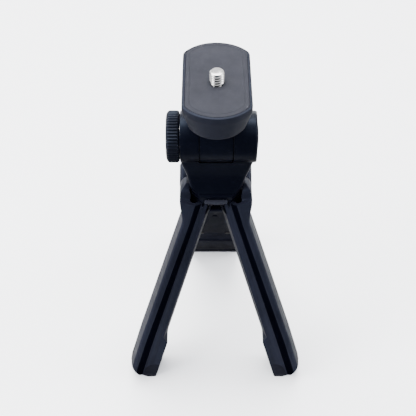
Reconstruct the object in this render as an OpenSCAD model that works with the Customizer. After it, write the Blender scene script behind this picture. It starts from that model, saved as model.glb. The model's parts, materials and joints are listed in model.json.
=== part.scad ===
/* [Stance] */
// Height of the camera plate's top face above the ground, legs open
plate_height = 168; // [160:1:176]
// Height of the three leg hinges above the ground
hinge_height = 103.5; // [101:0.5:106]
// Angle that a front leg swings out from the closed handle
front_open = 23.6; // [20:0.1:26]
// Angle that the rear leg swings out from the closed handle
rear_open = 22.6; // [19:0.1:25]
// Distance from the stud's axis back to the middle of the footprint
footprint_mid_y = 4.257; // [4:0.001:5]

/* [Camera plate] */
// Width of the camera plate between its flat sides
plate_w = 30; // [28:0.5:32]
// Distance from the stud to the front tip of the plate
plate_front = 25; // [23:0.5:26]
// Distance from the stud to the rear tip of the plate
plate_rear = 28.3; // [26:0.1:29]
// Radius of the plate's front and rear arcs
plate_arc_r = 18.2; // [17:0.1:20]
// Height of the plate with its tapered skirt
skirt_h = 12.5; // [11:0.5:13]
// Thickness of the rubber pad
pad_t = 1.2; // [0.8:0.1:1.6]
// Radius of the camera stud, a quarter inch thread
stud_r = 3.175; // [3.175]
// Height of the stud above the pad
stud_h = 5.2; // [4.5:0.1:6]

/* [Tilt barrel] */
// Radius of the horizontal tilt barrel
barrel_r = 11.9; // [11:0.1:12.5]
// Height of the tilt axis below the plate's top face
barrel_drop = 32; // [31:0.5:34]
// Width of the centre knuckle
knuckle_w = 14.8; // [14:0.1:16]
// Position of the left end of the barrel
barrel_left = 16.5; // [15.5:0.1:17.5]
// Position of the right end of the barrel
barrel_right = 18.1; // [17:0.1:18.5]
// Thickness of the lock knob
knob_t = 6; // [5:0.1:7]
// Number of grip ridges round the lock knob
knob_ridges = 50; // [36:1:60]

/* [Legs] */
// Half width of the closed handle just below the hinges
leg_u_top = 13.2; // [12.8:0.1:13.6]
// Half width of the closed handle at the feet
leg_u_low = 15; // [14.6:0.1:15.4]
// Half width of the closed handle at the leg shoulders
leg_u_knee = 17.8; // [17.4:0.1:18.2]
// Half depth of the closed handle at its ridges, just below the hinges
leg_v_top = 16.8; // [16.4:0.1:17.2]
// Half depth of the closed handle at its ridges, at the feet
leg_v_low = 17.8; // [17.4:0.1:18.2]
// Half depth of the handle at the floor of its front grip channel
floor_v = 13.5; // [13:0.1:14]
// Wall thickness of the leg shells
wall = 1.8; // [1.6:0.1:2]
// Radius of the steel leg pins
pin_r = 1.5; // [1.3:0.1:1.7]

/* [Hidden] */
$fn = 64;

gap = 0.3;                 // half the gap between closed legs
run_fit = 0.05;            // radial clearance of a turning fit
axis_z = plate_height - barrel_drop;
rim_t = 3;                 // thickness of the plate round the pad
skirt_z = plate_height - skirt_h;
skirt_x = 0.807;           // narrowing of the skirt across
skirt_y = 0.952;           // narrowing of the skirt along
bolt_r = 2.5;              // clamp bolt shank
hub_top = 110;             // top of the hub flange
hub_under = 107.9;         // underside of the hub flange
corner_cut = 14.85;        // distance of the hub's cut corners from the stud's axis
lug_low = 99.3;            // bottom of the hinge lugs
waist_y = 8.2;             // half depth of the neck at its waist
hinge_d = 7;               // front hinge centre from each mid plane
rear_hinge_y = 7.6;        // rear hinge centre behind the mid plane
knuckle_r = 4;             // radius of a leg's hinge knuckle
half_knuckle = 4.5;        // half length of a front knuckle
rear_half_knuckle = 6.9;   // half length of the rear knuckle
washer_t = 0.5;            // hinge washer
pads_z = 15;               // top of the touching pads at the feet
front_top = 103;           // top edge of a leg's front face
knee_top = 109.5;          // top of a leg's shoulder
foot_low = -16;            // below the lowest point of a closed leg
foot_u = 7.3;              // outer side of a rubber foot
foot_top = -1;             // top of a rubber foot
foot_round = 5.5;          // radius of the foot's upper outer corner
toe_r = 11.5;               // rounding of a leg's lower outer corner
side_rise = 5;             // height of the rounding of a leg's lower side edge
side_reach = 5;            // its length along the ground

// ---- placing -------------------------------------------------------------

// Moves everything so that the footprint's middle is the origin
module placed() {
    translate([0, -footprint_mid_y, 0]) children();
}

// Turns a closed front left leg out to its open place, and trims it to the ground and
// to its own quarter of the stance
module front_left_leg() {
    placed() intersection() {
        translate([-hinge_d, -hinge_d, hinge_height])
            rotate(a = front_open, v = [-1, 1, 0])
                translate([hinge_d, hinge_d, -hinge_height]) children();
        translate([-100 - gap, -100 - gap, 0]) cube([100, 100, 200]);
    }
}

module rear_leg() {
    placed() intersection() {
        translate([0, rear_hinge_y, hinge_height]) rotate([rear_open, 0, 0])
            translate([0, -rear_hinge_y, -hinge_height]) children();
        translate([-50, gap, 0]) cube([100, 100, 200]);
    }
}

// Axes with +X along the front left hinge pin and +Y inward from it
module at_front_hinge() {
    translate([-hinge_d, -hinge_d, hinge_height]) rotate([0, 0, -45]) children();
}

module at_rear_hinge() {
    translate([0, rear_hinge_y, hinge_height]) children();
}

// A cylinder along X, centred
module x_rod(r, length, sides = 64) {
    rotate([0, 90, 0]) cylinder(r = r, h = length, center = true, $fn = sides);
}

module x_span(r, from, to, sides = 64) {
    translate([(from + to) / 2, 0, 0]) x_rod(r, to - from, sides);
}

// ---- camera plate --------------------------------------------------------

module plate_outline(inset = 0, tip_inset = 0) {
    r = plate_arc_r - inset;
    intersection() {
        translate([-plate_w / 2 + inset, -plate_front + inset])
            square([plate_w - 2 * inset, plate_front + plate_rear - inset - tip_inset]);
        union() {
            translate([0, -plate_front + plate_arc_r]) circle(r);
            translate([0, plate_rear - plate_arc_r]) circle(plate_arc_r - tip_inset);
            translate([-r, -plate_front + plate_arc_r])
                square([2 * r, plate_front + plate_rear - 2 * plate_arc_r]);
        }
    }
}

module skirt_solid() {
    translate([0, 0, plate_height - rim_t]) mirror([0, 0, 1])
        linear_extrude(height = skirt_h - rim_t, scale = [skirt_x, skirt_y], slices = 1)
            plate_outline();
}

// The hollow of the skirt and the base that closes it follow the skirt's lower edge
module skirt_outline(inset) {
    scale([skirt_x, skirt_y]) plate_outline(inset, inset);
}

base_screw_at = [[-7.6, -14], [7.6, -14], [-7.6, 16], [7.6, 16]];
base_t = 2.2;              // thickness of the plate's base
dial_r = 12.7;
dial_z = skirt_z + 3;      // underside of the screw's dial
dial_t = 4;

module plate_pad() {
    color([0.32, 0.32, 0.35]) placed() difference() {
        translate([0, 0, plate_height - pad_t]) linear_extrude(pad_t)
            plate_outline(1.4, 0.4);
        translate([0, 0, plate_height - rim_t]) cylinder(r = 3.8, h = 2 * rim_t);
    }
}

module plate_shell() {
    color([0.09, 0.09, 0.1]) placed() difference() {
        union() {
            translate([0, 0, plate_height - rim_t]) linear_extrude(rim_t - 0.1)
                plate_outline();
            skirt_solid();
        }
        translate([0, 0, plate_height - pad_t]) linear_extrude(2 * pad_t)
            plate_outline(1.35, 0.35);
        difference() {
            translate([0, 0, skirt_z - 1]) linear_extrude(skirt_h - rim_t + 1) skirt_outline(2);
            for (p = base_screw_at) translate([p[0], p[1], skirt_z + base_t + 0.05])
                cylinder(r = 2.6, h = skirt_h, $fn = 24);
        }
        translate([0, 0, dial_z - 0.3]) cylinder(r = dial_r + 0.35, h = dial_t + 0.6, $fn = 48);
        cylinder(r = 3.8, h = 2 * plate_height);
        for (side = [-1, 1])
            translate([side * plate_w / 2 - 3, -5, dial_z - 0.3]) cube([6, 10, dial_t + 0.6]);
        for (p = base_screw_at) translate([p[0], p[1], skirt_z]) cylinder(r = 1, h = 9, $fn = 24);
    }
}

module plate_base() {
    color([0.07, 0.07, 0.08]) placed() difference() {
        union() {
            translate([0, 0, skirt_z]) linear_extrude(base_t) skirt_outline(2.15);
            translate([0, 0, axis_z]) x_rod(barrel_r, knuckle_w);
            translate([-knuckle_w / 2, -9, axis_z + 4])
                cube([knuckle_w, 18, skirt_z - axis_z - 3.9]);
        }
        translate([0, 0, axis_z]) x_rod(bolt_r + run_fit, 2 * knuckle_w);
        translate([0, 0, axis_z + barrel_r + 2]) cylinder(r = 3.4, h = 20);
        for (p = base_screw_at) {
            translate([p[0], p[1], skirt_z - 1]) cylinder(r = 1.15, h = 20);
            translate([p[0], p[1], skirt_z - 1]) cylinder(r = 2.1, h = 2);
        }
    }
}

module base_screws() {
    color("silver") placed() for (p = base_screw_at)
        translate([p[0], p[1], skirt_z]) {
            translate([0, 0, 0.1]) cylinder(r = 2, h = 0.85);
            translate([0, 0, 0.1]) cylinder(r = 1, h = 8.6);
        }
}

// ---- camera screw --------------------------------------------------------

shank_r = 3;               // the screw below its thread

module camera_screw() {
    chamfer = 0.8;
    thread_z = plate_height + 0.1;
    top = plate_height + stud_h;
    color("silver") placed() {
        translate([0, 0, skirt_z + 0.3]) cylinder(r = shank_r, h = thread_z - skirt_z - 0.3);
        translate([0, 0, thread_z]) cylinder(r = stud_r, h = top - chamfer - thread_z);
        translate([0, 0, top - chamfer]) cylinder(r1 = stud_r, r2 = stud_r - chamfer, h = chamfer);
    }
}

module screw_dial() {
    teeth = 48;
    color([0.1, 0.1, 0.11]) placed() difference() {
        union() {
            translate([0, 0, dial_z]) linear_extrude(dial_t) polygon([for (i = [0 : 2 * teeth - 1])
                (dial_r - (i % 2) * 0.4) * [cos(i * 180 / teeth), sin(i * 180 / teeth)]]);
            translate([0, 0, dial_z]) cylinder(r = 5.4, h = 5.2);
        }
        translate([0, 0, dial_z - 1]) cylinder(r = shank_r, h = 8);
    }
}

module dial_ring() {
    color("silver") placed() translate([0, 0, dial_z + 5.25]) difference() {
        cylinder(r = 4.7, h = 0.6);
        translate([0, 0, -1]) cylinder(r = shank_r, h = 3);
    }
}

// ---- barrel and neck -----------------------------------------------------

module neck_block() {
    neck_bottom = hub_top;
    top_z = axis_z - 4;
    scoop_r = 12.3;
    scoop_z = 119.5;
    difference() {
        intersection() {
            rotate([90, 0, 0]) linear_extrude(60, center = true) polygon([
                [-barrel_left, top_z], [-barrel_left, 126], [-14.9, 121.5], [-11.6, neck_bottom],
                [11.6, neck_bottom], [15.7, 121.5], [17, 126], [17, top_z]]);
            rotate([90, 0, 90]) linear_extrude(60, center = true) polygon([
                [-waist_y, top_z], [-waist_y, scoop_z - 0.5], [-13.4, scoop_z - 0.5],
                [-13.4, neck_bottom], [13.4, neck_bottom], [13.4, scoop_z - 0.5],
                [waist_y, scoop_z - 0.5], [waist_y, top_z]]);
        }
        for (side = [-1, 1])
            translate([0, side * (waist_y + scoop_r), scoop_z]) x_rod(scoop_r, 60, 128);
        for (turn = [45 : 90 : 315]) rotate([0, 0, turn]) translate([corner_cut, 0, hub_top])
            rotate([0, 12, 0]) translate([0, -30, -30]) cube([30, 60, 60]);
    }
}

module yoke() {
    ear = knuckle_w / 2 + 0.5;
    color([0.06, 0.06, 0.07]) placed() difference() {
        union() {
            neck_block();
            translate([0, 0, axis_z]) x_span(barrel_r, -barrel_left, -ear);
            translate([0, 0, axis_z]) x_span(barrel_r, ear, barrel_right);
        }
        translate([0, 0, axis_z]) x_span(barrel_r + 0.35, -ear, ear);
        translate([0, 0, axis_z]) x_rod(bolt_r + 0.1, 60);
        translate([0, 0, axis_z]) x_span(5.6, 13.2, 30);
        translate([0, 0, hub_top - 1]) cylinder(r = 2.1, h = 12);
        translate([0, 0, hub_top - 1]) cylinder(r = 3.2, h = 7.2);
    }
}

module end_cap() {
    color([0.08, 0.08, 0.09]) placed() translate([barrel_right, 0, axis_z]) rotate([0, 90, 0]) {
        cylinder(r = barrel_r - 0.2, h = 0.3);
        translate([0, 0, 0.3]) cylinder(r1 = barrel_r - 0.2, r2 = 8, h = 0.6);
        translate([0, 0, 0.9]) cylinder(r1 = 8, r2 = 3, h = 0.4);
        translate([0, 0, -0.8]) difference() {
            cylinder(r = 5.5, h = 0.8);
            translate([0, 0, -1]) cylinder(r = 4.7, h = 3);
        }
    }
}

module clamp_bolt() {
    color("silver") placed() translate([0, 0, axis_z]) {
        x_span(4.5, 13.3, 16.4, 6);
        x_span(bolt_r, knob_outer + 1.05, 13.3);
    }
}

module friction_washers() {
    inner = knuckle_w / 2 + 0.06;
    color("dimgray") placed() for (side = [-1, 1])
        translate([side * (inner + 0.22), 0, axis_z]) difference() {
            x_rod(10.6, 0.44);
            x_rod(bolt_r + 0.2, 2);
        }
}

module knob_washer() {
    color("silver") placed() translate([-barrel_left - 0.175, 0, axis_z]) difference() {
        x_rod(6, 0.3);
        x_rod(bolt_r + 0.1, 2);
    }
}

knob_inner = -barrel_left - 0.35;
knob_outer = knob_inner - knob_t;

module knob() {
    root_r = 11.55;
    tip_r = 12;
    color([0.08, 0.08, 0.09]) placed() translate([0, 0, axis_z]) difference() {
        translate([knob_outer, 0, 0]) rotate([90, 0, 90]) linear_extrude(knob_t)
            polygon([for (i = [0 : 2 * knob_ridges - 1])
                (i % 2 == 0 ? tip_r : root_r)
                * [cos(i * 180 / knob_ridges), sin(i * 180 / knob_ridges)]]);
        x_span(bolt_r + 0.1, -40, 0);
        x_span(4.3, knob_outer + 1, knob_outer + 4.2, 6);
        x_span(7.6, knob_outer - 1, knob_outer + 1);
    }
}

module knob_nut() {
    color("goldenrod") placed() translate([0, 0, axis_z]) difference() {
        x_span(4.25, knob_outer + 1.05, knob_outer + 4.15, 6);
        x_span(bolt_r + run_fit, -40, 0);
    }
}

module knob_cap() {
    color([0.1, 0.1, 0.11]) placed() translate([0, 0, axis_z])
        x_span(7.5, knob_outer, knob_outer + 0.95);
}

// ---- hub -----------------------------------------------------------------

module hub_plan() {
    polygon([
        [-11.6, -9.4], [-7.6, -13.4], [7.6, -13.4], [11.6, -9.4],
        [11.6, 9.4], [7.6, 13.4], [-7.6, 13.4], [-11.6, 9.4]]);
}

// The space that a front leg's knuckle and its washers need
module front_knuckle_bay(extra = 0) {
    reach = half_knuckle + washer_t + 0.08 + extra;
    at_front_hinge() translate([-reach, -20, -20]) cube([2 * reach, 40, 40]);
}

module rear_knuckle_bay(extra = 0) {
    reach = rear_half_knuckle + washer_t + 0.08 + extra;
    at_rear_hinge() translate([-reach, -40, -20]) cube([2 * reach, 80, 40]);
}

module lug_bays() {
    front_knuckle_bay();
    mirror([1, 0, 0]) front_knuckle_bay();
}

module hub() {
    side_out = 11.8;
    color([0.06, 0.06, 0.07]) placed() difference() {
        union() {
            translate([0, 0, hub_under]) linear_extrude(hub_top - hub_under) hub_plan();
            difference() {
                translate([-3.4, -13.2, lug_low]) cube([6.8, 8, hub_under - lug_low]);
                lug_bays();
            }
            difference() {
                for (side = [-1, 1]) translate([side > 0 ? 7.2 : -side_out, -6.4, lug_low])
                    cube([side_out - 7.2, 18.2, hub_under - lug_low + 0.5]);
                lug_bays();
                rear_knuckle_bay();
            }
        }
        at_front_hinge() x_rod(pin_r + 0.02, 40);
        mirror([1, 0, 0]) at_front_hinge() x_rod(pin_r + 0.02, 40);
        at_rear_hinge() x_rod(pin_r + 0.02, 60);
        translate([0, 0, lug_low - 1]) cylinder(r = 2.1, h = 20);
    }
}

module pin_cover() {
    color([0.12, 0.12, 0.13]) placed() intersection() {
        translate([0, 0, lug_low]) union() {
            translate([-5.4, -15.2, 6.6]) cube([10.8, 1.9, 1.9]);
            difference() {
                translate([-3.2, -14.6, 1.1]) cube([6.4, 1.3, 6]);
                translate([-2.6, -15, 2.6]) cube([5.2, 2, 4]);
            }
        }
        translate([0, 6, 0]) cylinder(r = 21.2, h = 200, $fn = 128);
    }
}

module hub_bolt() {
    color("silver") placed() {
        translate([0, 0, hub_under - 2.3]) difference() {
            cylinder(r = 3.3, h = 2.2);
            translate([0, 0, -1]) cylinder(r = 1.6, h = 2.2, $fn = 6);
        }
        translate([0, 0, hub_under - 0.2]) cylinder(r = 2, h = 12);
    }
}

module hub_insert() {
    color("goldenrod") placed() translate([0, 0, hub_top + 0.2]) difference() {
        cylinder(r = 3.15, h = 5.8);
        translate([0, 0, -1]) cylinder(r = 2.05, h = 9);
    }
}

module hinge_washer(at) {
    translate([at, 0, 0]) difference() {
        x_rod(3.6, washer_t);
        x_rod(pin_r + 0.1, 4);
    }
}

module hinge_washers() {
    front_at = half_knuckle + 0.05 + washer_t / 2;
    rear_at = rear_half_knuckle + 0.05 + washer_t / 2;
    color("gainsboro") placed() for (side = [-1, 1]) {
        at_front_hinge() hinge_washer(side * front_at);
        mirror([1, 0, 0]) at_front_hinge() hinge_washer(side * front_at);
        at_rear_hinge() hinge_washer(side * rear_at);
    }
}

module front_pin() {
    color("silver") placed() at_front_hinge() x_span(pin_r, -6.3, 7.2);
}

module leg_left_pin() { front_pin(); }
module leg_right_pin() { mirror([1, 0, 0]) front_pin(); }
module leg_rear_pin() {
    color("silver") placed() at_rear_hinge() x_span(pin_r, -11.9, 11.9);
}

// ---- leg outline ---------------------------------------------------------

function smooth(t) = t <= 0 ? 0 : t >= 1 ? 1 : t * t * (3 - 2 * t);
function mix(a, b, t) = a + (b - a) * t;
function down(z) = min(1, max(0, (92 - z) / (92 - pads_z)));

// Half width of the closed handle at height z, with the shoulder by the hinges
function leg_u(z) =
    mix(leg_u_top, leg_u_low, down(z))
    + (leg_u_knee - leg_u_top) * smooth((z - 90) / 15)
    - (z > 105 ? 3 * (1 - sqrt(max(0, 1 - pow((z - 105) / 5, 2)))) : 0);

function leg_v(z) = mix(leg_v_top, leg_v_low, down(z));
function finger_gap(z) = smooth((z - pads_z) / 3);
function edge_u(z) = mix(gap, 3.4, finger_gap(z));
function inner_u(z) = mix(gap, 0.5, finger_gap(z));
function crease_u(z) = mix(7.1, 8.1, down(z));
function ridge_u(z) = mix(9.6, 12, down(z));

// Extra thickness of the shells at the shoulders
function shoulder_extra(z) = 3.1 * smooth((z - 93) / 11) - 2.8 * smooth((z - 104.5) / 5);

// Outline of a front leg as seen from above: inner side, channel floor, wall up to
// the rounded ridge, outer face, corner and outer side
function front_leg_points(z) = let (u = leg_u(z), v = leg_v(z), r = ridge_u(z)) [
    [gap, gap], [inner_u(z), 4], [edge_u(z), floor_v], [crease_u(z), floor_v],
    [r - 0.7, v - 0.8], [r, v - 0.2], [r + 0.9, v],
    [u - 0.9, v - 0.9], [u, v - 1.2], [u + 0.35, v - 2.2], [u, gap]];

// Outline of the space inside a front leg's shell
function front_cavity_points(z, inset = 0) = let (
    t = wall + inset,
    u = leg_u(z) - t - shoulder_extra(z), v = leg_v(z) - t,
    r = min(ridge_u(z) + t * 0.6, u - 1.2)) [
    [inner_u(z) + t, -1], [inner_u(z) + t, 4], [edge_u(z) + t, floor_v - t],
    [crease_u(z) + t * 0.5, floor_v - t], [r, v - 0.5], [u - 0.8, v - 0.7],
    [u, v - 1.6], [u, -1]];

// Outline of the rear leg, a full width half of the handle
function half_round(u, v, r, start) = concat(
    [[u, start]],
    [for (a = [0 : 15 : 90]) [u - r + r * cos(a), -v + r - r * sin(a)]],
    [for (a = [90 : -15 : 0]) [-u + r - r * cos(a), -v + r - r * sin(a)]],
    [[-u, start]]);

function rear_leg_points(z) = half_round(leg_u(z), leg_v(z), 4, -gap - finger_gap(z));
function rear_cavity_points(z, inset = 0) =
    half_round(leg_u(z) - wall - shoulder_extra(z) - inset, leg_v(z) - wall - inset, 4 - wall, 1);

// Joins outlines of equal length at rising heights into one closed solid.
// Points are given as (u, v), towards the left and towards the front.
module loft(rings, heights) {
    n = len(rings[0]);
    last = len(rings) - 1;
    points = [for (k = [0 : last]) for (p = rings[k]) [-p[0], -p[1], heights[k]]];
    sides = [for (k = [0 : last - 1]) for (i = [0 : n - 1]) each [
        [k * n + i, k * n + (i + 1) % n, (k + 1) * n + i],
        [k * n + (i + 1) % n, (k + 1) * n + (i + 1) % n, (k + 1) * n + i]]];
    caps = [[for (i = [n - 1 : -1 : 0]) i], [for (i = [0 : n - 1]) last * n + i]];
    polyhedron(points = points, faces = concat(sides, caps), convexity = 6);
}

knee_heights = [90, 93, 96, 99, 102, 105, 106.5, 108, knee_top];
shell_heights = concat([foot_low, pads_z, pads_z + 1.5, pads_z + 3], knee_heights);
cavity_heights = concat([-2.6, pads_z, pads_z + 1.5, pads_z + 3], knee_heights, [knee_top + 1]);

module front_outer() {
    loft([for (z = shell_heights) front_leg_points(z)], shell_heights);
}

module front_cavity(inset = 0) {
    loft([for (z = cavity_heights) front_cavity_points(z, inset)], cavity_heights);
}

module rear_outer() {
    loft([for (z = shell_heights) rear_leg_points(z)], shell_heights);
}

module rear_cavity(inset = 0) {
    loft([for (z = cavity_heights) rear_cavity_points(z, inset)], cavity_heights);
}

// Length along the closed leg from its hinge to the ground, at s outward of the hinge
function ground_t(s, open) = (hinge_height + s * sin(open)) / cos(open);

// Everything but the sharp lower outer corner, in a hinge's own axes
module toe_limit(reach, open) {
    s = reach - toe_r;
    low = -ground_t(s, open) - 0.2;
    rotate([90, 0, 90]) linear_extrude(80, center = true) polygon(concat(
        [[60, 30], [-reach - 1, 30], [-reach, -50]],
        [for (a = [180 : 7.5 : 270]) [-s + toe_r * cos(a), low + toe_r + toe_r * sin(a)]],
        [[60, low]]));
}

// Everything but the sharp lower edge of a leg's outer side, in closed leg axes.
// The edge lies along the ground, which slopes across the closed leg.
module side_limit() {
    slope = tan(front_open) * sqrt(0.5);
    lean = atan(slope);
    side = leg_u_low + 0.4;
    edge_z = hinge_height - ground_t((side - 2 * hinge_d) * sqrt(0.5), front_open);
    fall = atan(slope * cos(lean));
    translate([0, 0, edge_z]) rotate([lean, 0, 0]) rotate([90, 0, 0])
        linear_extrude(120, center = true) polygon(concat(
            [[60, 150], [-side - 6, 150], [-side - 6, 60], [-side, 52]],
            [for (a = [0 : 7.5 : 90]) [-side, 0] + side_rise * (1 - sin(a)) * [0, 1]
                + side_reach * (1 - cos(a)) * [cos(fall), sin(fall)]],
            [[60, (60 + side) * tan(fall) - 0.2]]));
}

// What is cut off the top front of a shell, seen from the side
module shoulder_cut() {
    rotate([90, 0, 90]) linear_extrude(80, center = true) polygon([
        [-8, 130], [-8, knee_top], [-11.5, 107.5], [-13, front_top], [-40, front_top],
        [-40, 130]]);
}

// ---- front legs ----------------------------------------------------------

front_reach = 13.6;                      // hinge to the outer corner, closed
front_screw_at = [[8.6, 30], [8, 72]];   // (u, z) of the screws in a front leg
boss_v = 2.4;                            // where the screw bosses start

module along_v(r, from, to) {
    translate([0, -from, 0]) rotate([90, 0, 0]) cylinder(r = r, h = to - from);
}

module foot_profile(u, low, top, round, grow = 0) {
    rotate([90, 0, 0]) linear_extrude(40) polygon(concat(
        [[0, low], [-u - grow, low]],
        [for (a = [180 : -15 : 90])
            [-u + round + (round + grow) * cos(a), top - round + (round + grow) * sin(a)]],
        [[0, top + grow]]));
}

module front_shell() {
    difference() {
        intersection() {
            front_outer();
            at_front_hinge() toe_limit(front_reach, front_open);
            side_limit();
        }
        difference() {
            front_cavity();
            for (p = front_screw_at) translate([-p[0], 0, p[1]]) along_v(2.3, boss_v, 20);
        }
        shoulder_cut();
        translate([-3.9, -30, 97.6]) cube([9, 31, 40]);
        translate([-12.2, -30, 103.3]) cube([17, 31, 40]);
        at_front_hinge() x_rod(knuckle_r + 0.5, 2 * half_knuckle + 2);
        at_front_hinge() x_rod(pin_r + 0.4, 20);
        foot_profile(foot_u, foot_low - 1, foot_top, foot_round, 0.05);
        for (p = front_screw_at) translate([-p[0], 0, p[1]]) along_v(1.02, 0, 10);
    }
}

module front_core() {
    panel_low = foot_top + 0.1;
    panel_top = 98.4;
    difference() {
        union() {
            at_front_hinge() x_rod(knuckle_r, 2 * half_knuckle);
            intersection() {
                front_cavity(0.1);
                union() {
                    at_front_hinge() translate([-3.8, -2.4, -14]) cube([7.6, 4.8, 14]);
                    translate([-20, -2.3, panel_low])
                        cube([20, 2.3 - gap, panel_top - panel_low]);
                    translate([-10, -8, 88]) cube([6, 7, 6]);
                    for (z = [14 : 14 : 84]) translate([-20, -9, z]) cube([20, 8, 1.2]);
                }
            }
        }
        at_front_hinge() x_rod(pin_r + run_fit, 20);
        for (p = front_screw_at) translate([-p[0], 0, p[1]]) {
            along_v(1.15, -1, 5);
            along_v(2.1, -1, 1.3);
            along_v(2.5, boss_v - 0.05, 12);
        }
    }
}

module front_foot() {
    difference() {
        union() {
            intersection() {
                front_outer();
                foot_profile(foot_u, foot_low, foot_top, foot_round);
                at_front_hinge() toe_limit(front_reach, front_open);
                side_limit();
            }
            translate([-5.8, -9, foot_top - 1]) cube([3, 6, 4]);
        }
        translate([-20, -1.2, foot_top - 0.5]) cube([40, 2, 20]);
    }
}

module front_screws() {
    for (p = front_screw_at) translate([-p[0], 0, p[1]]) {
        along_v(1.9, gap + 0.05, 1.25);
        along_v(1, gap + 0.05, 9.5);
    }
}

module leg_left_shell() { color([0.07, 0.07, 0.08]) front_left_leg() front_shell(); }
module leg_left_core() { color([0.1, 0.1, 0.11]) front_left_leg() front_core(); }
module leg_left_foot() { color([0.16, 0.16, 0.17]) front_left_leg() front_foot(); }
module leg_left_screws() { color("silver") front_left_leg() front_screws(); }
module leg_right_shell() { mirror([1, 0, 0]) leg_left_shell(); }
module leg_right_core() { mirror([1, 0, 0]) leg_left_core(); }
module leg_right_foot() { mirror([1, 0, 0]) leg_left_foot(); }
module leg_right_screws() { mirror([1, 0, 0]) leg_left_screws(); }

// ---- rear leg ------------------------------------------------------------

rear_screw_at = [[-8, 30], [8, 30], [-7, 76], [7, 76]];   // (x, z)
mark_z = 61;                                               // engraved arrow
rear_foot_x = 11.5;
rear_reach = 10.3;                                         // hinge to the back, closed

module back_v(r, from, to) {
    translate([0, from, 0]) rotate([-90, 0, 0]) cylinder(r = r, h = to - from);
}

module rear_foot_profile(grow = 0) {
    for (side = [0, 1]) mirror([side, 0, 0]) mirror([0, 1, 0])
        foot_profile(rear_foot_x, foot_low - grow, foot_top + 1, foot_round, grow);
}

module rear_shell() {
    difference() {
        intersection() {
            rear_outer();
            at_rear_hinge() mirror([0, 1, 0]) toe_limit(rear_reach, rear_open);
        }
        difference() {
            rear_cavity();
            for (p = rear_screw_at) translate([p[0], 0, p[1]]) back_v(2.3, boss_v + 1, 20);
        }
        mirror([0, 1, 0]) shoulder_cut();
        at_rear_hinge() x_rod(knuckle_r + 0.5, 2 * rear_half_knuckle + 2);
        rear_foot_profile(0.05);
        for (p = rear_screw_at) translate([p[0], 0, p[1]]) back_v(1.02, 0, 11);
    }
}

module rear_core() {
    panel_low = foot_top + 1.1;
    panel_top = 98.4;
    face = gap + 1;
    difference() {
        union() {
            at_rear_hinge() x_rod(knuckle_r, 2 * rear_half_knuckle);
            intersection() {
                rear_cavity(0.1);
                union() {
                    translate([-6.4, 5.2, 88]) cube([12.8, 4.8, 15]);
                    translate([-20, face, panel_low]) cube([40, 2, panel_top - panel_low]);
                    translate([-20, gap, panel_low]) cube([40, 2, pads_z - panel_low + 1.5]);
                    translate([-6.4, face, 88]) cube([12.8, 6, 6]);
                    for (z = [14 : 14 : 84]) translate([-20, face, z]) cube([40, 8, 1.2]);
                }
            }
        }
        at_rear_hinge() x_rod(pin_r + run_fit, 40);
        for (p = rear_screw_at) translate([p[0], 0, p[1]]) {
            back_v(1.15, -1, 6);
            back_v(2.1, 5.1, 5.2);
            back_v(2.5, boss_v + 0.95, 14);
        }
        translate([0, face - 0.5, mark_z]) rotate([-90, 0, 0]) linear_extrude(1)
            polygon([[-1.6, 1.9], [1.6, 1.9], [0, -1.9]]);
    }
}

module rear_foot() {
    difference() {
        union() {
            intersection() {
                rear_outer();
                rear_foot_profile();
                at_rear_hinge() mirror([0, 1, 0]) toe_limit(rear_reach, rear_open);
            }
            for (side = [-1, 1])
                translate([side * 6 - 2, 4, foot_top - 1]) cube([4, 6, 4.5]);
        }
        translate([-20, 0, foot_top + 1]) cube([40, 3.4, 20]);
    }
}

module rear_screws() {
    for (p = rear_screw_at) translate([p[0], 0, p[1]]) {
        back_v(1.9, gap + 0.75, gap + 0.98);
        back_v(1, gap + 0.75, 10.5);
    }
}

module leg_rear_shell() { color([0.07, 0.07, 0.08]) rear_leg() rear_shell(); }
module leg_rear_core() { color([0.1, 0.1, 0.11]) rear_leg() rear_core(); }
module leg_rear_foot() { color([0.16, 0.16, 0.17]) rear_leg() rear_foot(); }
module leg_rear_screws() { color("silver") rear_leg() rear_screws(); }

// ---- output --------------------------------------------------------------

plate_pad();
plate_shell();
plate_base();
base_screws();
camera_screw();
screw_dial();
dial_ring();
yoke();
end_cap();
clamp_bolt();
friction_washers();
knob_washer();
knob();
knob_cap();
knob_nut();
hub();
pin_cover();
hub_bolt();
hub_insert();
hinge_washers();
leg_left_pin();
leg_right_pin();
leg_rear_pin();
leg_left_shell();
leg_left_core();
leg_left_foot();
leg_left_screws();
leg_right_shell();
leg_right_core();
leg_right_foot();
leg_right_screws();
leg_rear_shell();
leg_rear_core();
leg_rear_foot();
leg_rear_screws();
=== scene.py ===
import json
from math import asin, atan, atan2, cos, pi, radians, sin, sqrt, tan

import bmesh
import bpy
from mathutils import Matrix, Vector


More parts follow.
